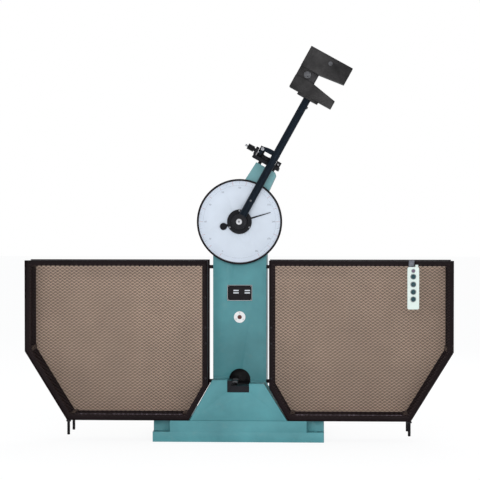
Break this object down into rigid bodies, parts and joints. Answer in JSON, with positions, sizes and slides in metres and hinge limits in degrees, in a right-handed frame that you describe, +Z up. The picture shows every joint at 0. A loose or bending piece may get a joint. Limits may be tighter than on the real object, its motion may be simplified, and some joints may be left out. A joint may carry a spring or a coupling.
{
  "type": "pendulum impact tester",
  "caption": "Floor-standing pendulum impact tester with a slotted hammer on a raised arm, round dial, column on a cast base, release latch and mesh guards.",
  "frame": {"origin": "on the floor, under the middle of the base casting", "axes": "+X to the right along the swing, +Y from the dial towards the back of the column, +Z up"},
  "size_m": [1.976, 0.6, 1.828],
  "materials": {
    "machine_green": "gloss enamel on a casting",
    "guard_brown": "dark brown enamel",
    "black_steel": "black oxide and paint",
    "tool_steel": "ground",
    "hammer_iron": "blackened, machined edges",
    "blued_steel": "blued and polished",
    "hub_steel": "blackened",
    "bright_steel": "turned",
    "dial_enamel": "satin enamel",
    "black_enamel": "gloss enamel",
    "pointer_enamel": "gloss enamel",
    "flange_alloy": "satin",
    "plug_brown": "moulded",
    "drive_iron": "machine paint",
    "motor_alloy": "cast and finned",
    "pendant_mint": "moulded",
    "button_teal": "moulded",
    "lamp_lens": "lens",
    "strip_zinc": "zinc plated"
  },
  "bodies": {
    "frame": {"anvil_screws": "bright_steel", "base_casting": "machine_green", "bearing_cover": "black_steel", "bearing_housing": "black_enamel", "column": "machine_green", "column_flange": "flange_alloy", "column_flange_plug": "plug_brown", "column_screws": "bright_steel", "dial_plate": "dial_enamel", "dial_rim": "black_enamel", "dial_standoffs": "bright_steel", "drive_frame": "drive_iron", "front_anvil": "tool_steel", "front_bearing": "bright_steel", "front_pedestal": "machine_green", "front_support_block": "black_steel", "gearbox": "drive_iron", "guard_bolts": "bright_steel", "guard_frame_left": "guard_brown", "guard_frame_right": "guard_brown", "guard_legs": "bright_steel", "guard_lugs": "guard_brown", "guard_mesh_left": "guard_brown", "guard_mesh_right": "guard_brown", "hook_pivot_pin": "bright_steel", "hook_spring": "bright_steel", "latch_box": "black_steel", "latch_plate": "black_steel", "latch_post": "black_steel", "latch_spacers": "black_steel", "motor": "motor_alloy", "nameplate": "black_enamel", "pendant_case": "pendant_mint", "pendant_lamp": "lamp_lens", "pendant_strip": "strip_zinc", "pivot_bracket": "black_steel", "rear_anvil": "tool_steel", "rear_bearing": "bright_steel", "rear_cover": "machine_green", "rear_support_block": "black_steel", "safety_block": "black_steel", "solenoid": "black_steel"},
    "pendulum": {"pendulum_shaft": "bright_steel", "pendulum_hub": "hub_steel", "pendulum_rod": "blued_steel", "hammer": "hammer_iron", "striker": "tool_steel", "striker_bolt": "bright_steel", "catch_pin": "bright_steel", "pendulum_screws": "bright_steel", "clutch_armature": "bright_steel"},
    "pointer": {"dial_pointer": "pointer_enamel"},
    "latch_hook": {"release_hook": "blued_steel"},
    "plunger": {"release_plunger": "bright_steel"},
    "safety_pin": {"safety_pin": "bright_steel"},
    "clutch_output": {"clutch_rotor": "bright_steel"},
    "button_1": {"pendant_button_1": "button_teal"},
    "button_2": {"pendant_button_2": "button_teal"},
    "button_3": {"pendant_button_3": "button_teal"},
    "button_4": {"pendant_button_4": "button_teal"}
  },
  "joints": [
    {"name": "pendulum_swing", "type": "hinge", "parent": "frame", "child": "pendulum", "pos_m": [0, -0.18, 1.014], "axis": [0, 1, 0], "range_deg": [0, 302]},
    {"name": "pointer_turn", "type": "hinge", "parent": "frame", "child": "pointer", "pos_m": [0, -0.154, 1.014], "axis": [0, 1, 0], "continuous": true},
    {"name": "hook_lift", "type": "hinge", "parent": "frame", "child": "latch_hook", "pos_m": [0.10846, -0.151, 1.35405], "axis": [0, -1, 0], "range_deg": [0, 12], "stiffness_Nm_per_rad": 1, "springref_deg": -17.19},
    {"name": "plunger_slide", "type": "slide", "parent": "frame", "child": "plunger", "axis": [0.8746, 0, -0.4848], "range_m": [0, 0.0045]},
    {"name": "safety_pin_slide", "type": "slide", "parent": "frame", "child": "safety_pin", "axis": [0, -1, 0], "range_m": [0, 0.05]},
    {"name": "clutch_turn", "type": "hinge", "parent": "frame", "child": "clutch_output", "pos_m": [0, 0.06, 1.014], "axis": [0, 1, 0], "continuous": true},
    {"name": "button_1_press", "type": "slide", "parent": "frame", "child": "button_1", "axis": [0, 1, 0], "range_m": [0, 0.0025], "stiffness_N_per_m": 400, "springref_m": -0.001},
    {"name": "button_2_press", "type": "slide", "parent": "frame", "child": "button_2", "axis": [0, 1, 0], "range_m": [0, 0.0025], "stiffness_N_per_m": 400, "springref_m": -0.001},
    {"name": "button_3_press", "type": "slide", "parent": "frame", "child": "button_3", "axis": [0, 1, 0], "range_m": [0, 0.0025], "stiffness_N_per_m": 400, "springref_m": -0.001},
    {"name": "button_4_press", "type": "slide", "parent": "frame", "child": "button_4", "axis": [0, 1, 0], "range_m": [0, 0.0025], "stiffness_N_per_m": 400, "springref_m": -0.001}
  ],
  "couplings": [
    {"joint": "plunger_slide", "follows": "hook_lift", "m_per_rad": 0.0205}
  ]
}
